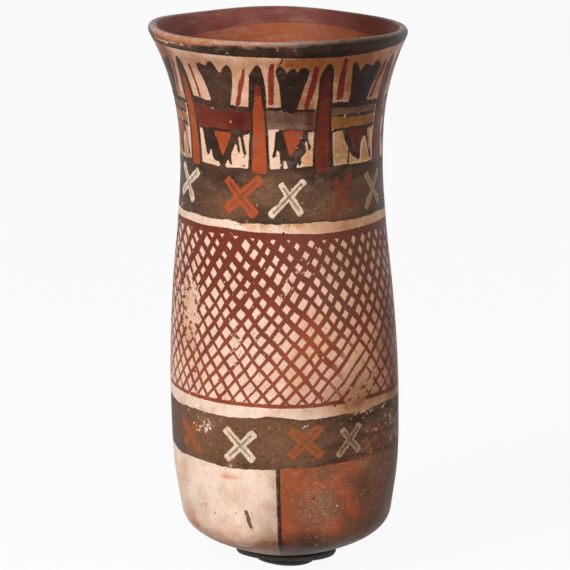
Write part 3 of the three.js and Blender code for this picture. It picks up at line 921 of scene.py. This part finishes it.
DARK_LAYERS = [
    (DARK_THIN, {"mottle": 0.6, "level_streaks": 0.6, "thin": 0.5}, (0.55, 1.05)),
    (DARK_DEEP, "fine", (0.48, 0.62, 0, 0.5)),
    (CLAY, {"flecks": 1, "chips": 0.5, "thin": 0.03}, (0.92, 1, 0, 0.8)),
    (DARK_WORN, "level_streaks", (0.35, 0.75), "worn"),
    (SCUFF_AND_SHEEN_GREY, SCUFF_AND_SHEEN_SHARE, (0.56, 0.74, 0, 0.5)),
]
PAINT_MOTTLE = ({"mottle": 1, "fine": 1}, (0.82, 1.18))
PAINT_SCUFF_AND_SHEEN = (SCUFF_AND_SHEEN_GREY, SCUFF_AND_SHEEN_SHARE, (0.52, 0.7, 0, 0.28))
LATTICE_LAYERS = [
    (LATTICE_MAROON, "above_lattice_low", (10, 50)),
    (LATTICE_DEEP, {"mottle": 1, "fine": 1}, (0.75, 1.25, 0, 0.7)),
]
# Inside: clay mottling, and pale streaks of painted sheen
INNER_LAYERS = [(CLAY, "mottle", (0.35, 0.75, 0, 0.35)), (LIP_PALE_HIGHLIGHT, "level_streaks", (0.5, 0.75, 0, 0.22))]
LIP_SIDE_LAYERS = [(DARK_THIN, {"fine": 1, "mottle": 0.5}, (0.72, 0.6, 0, 0.7))]
# The crest's painted highlight, paler where the lip is worn, with worn tan clay
LIP_TOP_LAYERS = [
    (LIP_PALE_HIGHLIGHT, "lip_worn", (0, 0.4)),
    (LIP_TAN, {"lip_worn": 1, "chips": 1.6, "level_streaks": 0.8}, (1.9, 2.4)),
]
# Other shares: where the value that each depends on starts and ends, with the shares there
SPANS = {
    "kept": (0.705, 0.675), "haze": (0, 1, 0, 0.22), "stained": (0.3, 0.6), "stain": (0.1, 0.9, 0, 0.85),
    "crack": (0.035, 0), "cracked": (0.5, 0.62, 0, 0.6), "shade": (4, 0.6, 0, 0.35),
    "shaded": (0.3, 0.6, 0.5, 1),
    "panel": (-0.1, 0.1), "rim": (0.9, 0.65), "rim_kept": (0.7, 0.5, 0.7, 0.95), "faded": (0.1, 0.5),
    "line_width": (4, 66, 0.254, 0.13), "line": (0.02, -0.02), "top": (2.7, 2.4), "bottom": (1.7, 1.4),
    "purple": (0.1, 0.5), "warm": (0.15, 0.45, 0, 0.65), "arm_line": (0.22, -0.12), "cross": (0, -0.3),
    "slip_worn": (0.85, 1.3, 0, 0.6), "line_kept": (0.62, 0.5, 0.25, 0.8), "inside_band": (-0.2, 0.2),
    "inside": (0.7, 0.8), "lip": (0.8, 0.7), "bare": (0.55, 0.2), "bare_clay": (0.72, 1.05, 0, 0.9),
    "crest": (0.3, 0.06, 0, 0.85), "crest_kept": (1, 0.7, 0.45, 1), "outside": (0.5, 0.4),
    "nicked": (0.3, 0.6, 0.4, 1), "patches": (0.6, 1.2, 0.65, 1.25), "dirt_and_shade": (0, 1.3),
    "tone": (0.6, 1.4, 0.8, 1.14), "glossy": (0.5, 0.4), "rough": (0.35, 0.9, 0.45, 0.72),
    "putty": (0.3, 0.75), "putty_rough": (0.3, 0.7, 0.55, 0.85),
}
# Cracked cells to the metre, and how far outside the foot's panel the middle of its shade is, in millimetres
CRACK_SCALE, SHADE_MIDDLE = 330, 1.2


def ground(n):
    """The cream slip, and the foot's panel with the dark line round it."""
    color = n.layered(CREAM, CREAM_LAYERS)
    color = n.blend(n.least("aged", 1.0), color, AGED_TINT, "MULTIPLY")
    stain = n.product("ochre_stain", n.span("stained", "chips"))
    color = n.blend(n.span("stain", stain), color, OCHRE_STAIN)
    color = n.blend(n.span("haze", n.least("above_lattice_low", "below_lattice_high")), color, LATTICE_HAZE)
    crack = n.span("crack", n.cells(CRACK_SCALE, feature="DISTANCE_TO_EDGE")["Distance"])
    color = n.blend(n.product(crack, n.span("cracked", "mottle")), color, CLAY)
    panel = n.sum("foot_panel", n.product("wobble", WAVER))
    shade = n.product(n.span("shade", n.size(n.sum(panel, SHADE_MIDDLE))), n.span("shaded", "mottle"))
    color = n.blend(shade, color, BROWN_DIRT_AND_SHADE, "MULTIPLY")
    color = n.blend(n.span("panel", panel), color, n.layered(FOOT_ORANGE, FOOT_LAYERS))
    rim = n.product(n.span("rim", n.size(panel)), n.span("rim_kept", "chips"))
    return n.blend(rim, color, DARK_DEEP)


# Lattice: how far lines, widths and edges stray, in cells and millimetres, and what weakens the faded lines
LINE_STRAY, LINE_OWN_WIDTH, LINE_UNEVEN, LINE_WOBBLE, BORDER_WOBBLE = 0.14, 0.5, 0.7, 0.13, 0.6
FADED_LEAST, FADED_UNEVEN = 0.6, 1.5


def lattice_share(n):
    """Where the two families of slanting lines and their borders are painted."""
    low, high = "above_lattice_low", "below_lattice_high"
    faded = n.span("faded", n.product("faded", n.sum(FADED_LEAST, n.product("line_wobble", FADED_UNEVEN))))
    shares = []
    for name in LATTICE_FAMILIES:
        line = n.math("ROUND", name, 0.0)
        own = n.add("ShaderNodeTexWhiteNoise", noise_dimensions="1D")
        n.put(own.inputs["W"], line)
        own = n.less(own.outputs["Value"], 0.5)
        off = n.size(n.sum(name, n.product(line, -1.0), n.product(own, LINE_STRAY)))
        stray = n.sum(1.0, n.product(own, LINE_OWN_WIDTH), n.product("line_wobble", LINE_UNEVEN))
        width = n.product(n.span("line_width", high), stray)
        shares.append(n.span("line", n.sum(off, n.product(width, -1.0), n.product("wobble", LINE_WOBBLE))))
    shares[1] = n.product(shares[1], n.less(1.0, faded))
    borders = n.most(n.span("top", n.sum(high, "wobble")), n.span("bottom", n.sum(low, "wobble")))
    room = n.sum(n.least(low, high), n.product("wobble", BORDER_WOBBLE))
    return n.product(n.most(n.most(*shares), borders), n.ramp(room, -EDGE, EDGE))


def lattice_paint(n, color, kept):
    lattice = n.layered(LATTICE_LIGHT, LATTICE_LAYERS)
    for name, tint in (("purple", LATTICE_PURPLE), ("warm", LATTICE_WARM)):
        lattice = n.blend(n.span(name, n.product(name, "mottle")), lattice, tint)
    return n.blend(n.product(lattice_share(n), kept), color, lattice)


# Crosses: how far and how squarely an arm's end reaches, its ragged edge, and where its dark line ends
ARM_END, ARM_SQUARE, ARM_WOBBLE, ARM_UNEVEN, ARM_LINE_END = 1.35, 4.0, 0.8, 1.6, 1.2


def cross_paint(n, color, dark, kept):
    outside, half_width, line = n.parts("cross_form")
    arms, lines = [], []
    for name in ("arm_a", "arm_b"):
        side, beyond, _ = n.parts(name)
        past = n.product(n.most(beyond, 0.0), ARM_END)
        reach = n.power(n.sum(n.power(n.size(side), ARM_SQUARE), n.power(past, ARM_SQUARE)), 1 / ARM_SQUARE)
        reach = n.sum(reach, n.product("wobble", ARM_WOBBLE), n.product("arm_wobble", ARM_UNEVEN))
        arms.append(n.ramp(n.less(reach, half_width), EDGE, -EDGE))
        off = n.most(n.size(side), n.sum(beyond, ARM_LINE_END))
        lines.append(n.span("arm_line", n.less(n.sum(off, "wobble"), line)))
    inside = n.span("cross", outside)
    slip = n.add("ShaderNodeAttribute", attribute_name="cross_colour").outputs["Color"]
    slip = n.blend(n.span("slip_worn", n.sum("chips", "fine")), slip, dark)
    color = n.blend(n.product(n.most(*arms), inside, kept), color, slip)
    return n.blend(n.product(n.most(*lines), inside, n.span("line_kept", "chips")), color, dark)


# Lip: middles of the bare side, the crest's painted highlight and the glossy part on the way over it, from 0
# outside to 1 inside
BARE_MIDDLE, CREST_MIDDLE, GLOSSY_MIDDLE = 0.4, 0.5, 0.45


def lip_and_inside(n, color, dark):
    inner = n.blend(n.span("inside_band", {"inside_edge": 1, "wobble": WAVER}), INSIDE_BAND, INSIDE_CLAY)
    ragged = {"over_lip": 1, "wobble": 0.3}
    color = n.blend(n.span("inside", ragged), color, n.layered(inner, INNER_LAYERS))
    lip = n.product(n.math("GREATER_THAN", "over_lip", 0.0), n.span("lip", ragged))
    n.made["lip_worn"] = n.least("lip_worn", 1.0)
    bare = n.product("lip_worn", n.span("bare", n.size(n.less("over_lip", BARE_MIDDLE))))
    bare = n.sum(n.product(bare, 0.5), n.product("chips", 0.5), n.product("level_streaks", 0.6))
    side = n.blend(n.span("bare_clay", bare), dark, n.layered(LIP_BARE, LIP_SIDE_LAYERS))
    # The crest is painted lighter grey as a highlight, broken up by chips and streaks
    off = n.sum(n.less("over_lip", CREST_MIDDLE), n.product("wobble", 0.15))
    crest = n.product(n.span("crest", n.size(off)), n.span("crest_kept", {"chips": 1, "level_streaks": 0.7}))
    return n.blend(lip, color, n.blend(crest, side, n.layered(LIP_HIGHLIGHT_GREY, LIP_TOP_LAYERS)))


# Spots: cells to the metre, size in cells, share of cells with a spot, and what adds to that share
SPOTS = [
    (230, 0.2, 0.035, {"pitted": 0.6}),
    (620, 0.3, 0.02, {"pitted": 0.45}),
    (380, 0.24, 0.05, {"worn": 0.25, "pitted": 0.3}),
]
SPECULAR, GLOSS = 0.1, 0.2
MOTTLE_DEPTH, CHIP_DEPTH, GRAIN_DEPTH = 0.5, 0.12, 0.04


def clay_material():
    material = bpy.data.materials.new("painted_clay")
    n = Nodes(material)
    kept = n.span("kept", {"chips": 1, "worn": 0.19})
    color = ground(n)
    dark = n.layered(DARK_DEEP, DARK_LAYERS)
    color = n.blend(n.product(n.painted("dark"), kept), color, dark)
    for pigment, (first, second) in PAINTS.items():
        paint = n.layered(first, [(second, *PAINT_MOTTLE), PAINT_SCUFF_AND_SHEEN])
        color = n.blend(n.product(n.painted(pigment), kept), color, paint)
    color = n.blend(n.painted("dark_over", waver=0.5), color, dark)
    color = cross_paint(n, color, dark, kept)
    color = lattice_paint(n, color, kept)
    color = lip_and_inside(n, color, dark)

    outside = n.span("outside", "over_lip")
    pits, fine_pits, nicks = [n.dots(scale, size, n.sum(share, more)) for scale, size, share, more in SPOTS]
    pits = n.product(n.most(pits, fine_pits), outside)
    color = n.blend(pits, color, PIT)
    color = n.blend(n.product(nicks, outside, n.span("nicked", "fine")), color, CREAM_WARM)
    # Brown multiplied in where dirt lies and where shade is painted
    dirt_and_shade = n.product("dirt_and_shade", n.span("patches", n.sum("mottle", "level_streaks")))
    color = n.blend(n.span("dirt_and_shade", dirt_and_shade), color, BROWN_DIRT_AND_SHADE, "MULTIPLY")
    tone = n.add("ShaderNodeCombineColor")
    for channel in tone.inputs[:3]:
        n.put(channel, n.span("tone", n.sum("grain", "fine")))
    n.put(n.shader.inputs["Base Color"], n.blend(1.0, color, tone.outputs[0], "MULTIPLY"))

    glossy = n.span("glossy", n.size(n.less("over_lip", GLOSSY_MIDDLE)))
    rough = n.span("rough", {"mottle": 1, "worn": 0.4})
    n.put(n.shader.inputs["Roughness"], n.less(rough, n.product(glossy, GLOSS)))
    n.shader.inputs["Specular IOR Level"].default_value = SPECULAR
    normal = n.bump("mottle", MOTTLE_DEPTH)
    normal = n.bump(n.product(kept, n.less(1.0, pits)), CHIP_DEPTH, normal)
    n.put(n.shader.inputs["Normal"], n.bump("grain", GRAIN_DEPTH, normal))
    return material


PUTTY_DARK, PUTTY_PALE = srgb(26, 22, 19), srgb(56, 48, 42)
PUTTY_LUMPS, PUTTY_GRAIN = (260, 5), (1500, 3)
PUTTY_LUMP_DEPTH, PUTTY_GRAIN_DEPTH = 0.5, 0.1


def putty_material():
    material = bpy.data.materials.new("dark_putty")
    n = Nodes(material)
    lumps = n.noise(*PUTTY_LUMPS)
    n.put(n.shader.inputs["Base Color"], n.blend(n.span("putty", lumps), PUTTY_DARK, PUTTY_PALE))
    n.put(n.shader.inputs["Roughness"], n.span("putty_rough", lumps))
    grain = n.bump(n.noise(*PUTTY_GRAIN), PUTTY_GRAIN_DEPTH)
    n.put(n.shader.inputs["Normal"], n.bump(lumps, PUTTY_LUMP_DEPTH, grain))
    return material


# Stage

# Strength of the world's light on the object, and how much of its own white the floor shows to the camera
WORLD_STRENGTH, FLOOR_GLOW = 0.25, 0.93
FLOOR_SIDE, FLOOR_COLOUR, FLOOR_ROUGHNESS = 8, srgb(246, 246, 246), 0.9
# Lamps: name, place in metres, side in metres, power in watts
LAMPS = [
    ("key_lamp", (-0.95, -1.0, 0.85), 0.55, 14.5),
    ("fill_lamp", (0.25, -1.5, 0.45), 0.8, 9.0),
]
TARGET = (0, 0, 0.105)


def make_floor():
    bpy.ops.mesh.primitive_plane_add(size=FLOOR_SIDE)
    floor = bpy.context.object
    floor.name = "floor"
    material = bpy.data.materials.new("floor")
    n = Nodes(material)
    n.shader.inputs["Base Color"].default_value = FLOOR_COLOUR
    n.shader.inputs["Roughness"].default_value = FLOOR_ROUGHNESS
    glow = n.add("ShaderNodeEmission")
    mix = n.add("ShaderNodeMixShader")
    n.put(mix.inputs[0], n.product(n.seen_white(), FLOOR_GLOW))
    n.put(mix.inputs[1], n.shader.outputs[0])
    n.put(mix.inputs[2], glow.outputs[0])
    n.put(n.tree.nodes["Material Output"].inputs["Surface"], mix.outputs[0])
    floor.data.materials.append(material)


def make_world():
    world = bpy.data.worlds.new("studio")
    bpy.context.scene.world = world
    n = Nodes(world)
    background = n.tree.nodes["Background"]
    background.inputs["Color"].default_value = (1, 1, 1, 1)
    n.put(background.inputs["Strength"], n.ramp(n.seen_white(), 0, 1, WORLD_STRENGTH, 1))


def make_lamps():
    for name, place, side, power in LAMPS:
        data = bpy.data.lights.new(name, "AREA")
        data.size = side
        data.energy = power
        lamp = add_object(name, data)
        lamp.location = place
        lamp.rotation_euler = (Vector(TARGET) - Vector(place)).to_track_quat("-Z", "Y").to_euler()


# Camera: the photograph's framing, with the pixel that the view's axis meets
FOCAL_PIXELS = 4607.0
SENSOR_WIDTH = 36.0
CAMERA_PLACE = (0.0, -1.7053, 0.4722)
CAMERA_ELEVATION = 12.05
AXIS_PIXEL = (287.45, 282.16)
CLIP_START = 0.05


def make_camera():
    data = bpy.data.cameras.new("camera")
    data.sensor_width = SENSOR_WIDTH
    data.lens = FOCAL_PIXELS * SENSOR_WIDTH / PHOTO_SIDE
    data.shift_x = (PHOTO_SIDE / 2 - AXIS_PIXEL[0]) / PHOTO_SIDE
    data.shift_y = (AXIS_PIXEL[1] - PHOTO_SIDE / 2) / PHOTO_SIDE
    data.clip_start = CLIP_START
    camera = add_object("camera", data)
    camera.location = CAMERA_PLACE
    camera.rotation_euler = (math.radians(90 - CAMERA_ELEVATION), 0, 0)
    bpy.context.scene.camera = camera


make_camera()
make_world()
make_floor()
make_lamps()
vessel = make_vessel()
vessel.data.materials.append(clay_material())
putty = putty_material()
make_putty("support_pad", putty)
make_putty("support_lump", putty)

bpy.context.scene.view_settings.view_transform = "Standard"
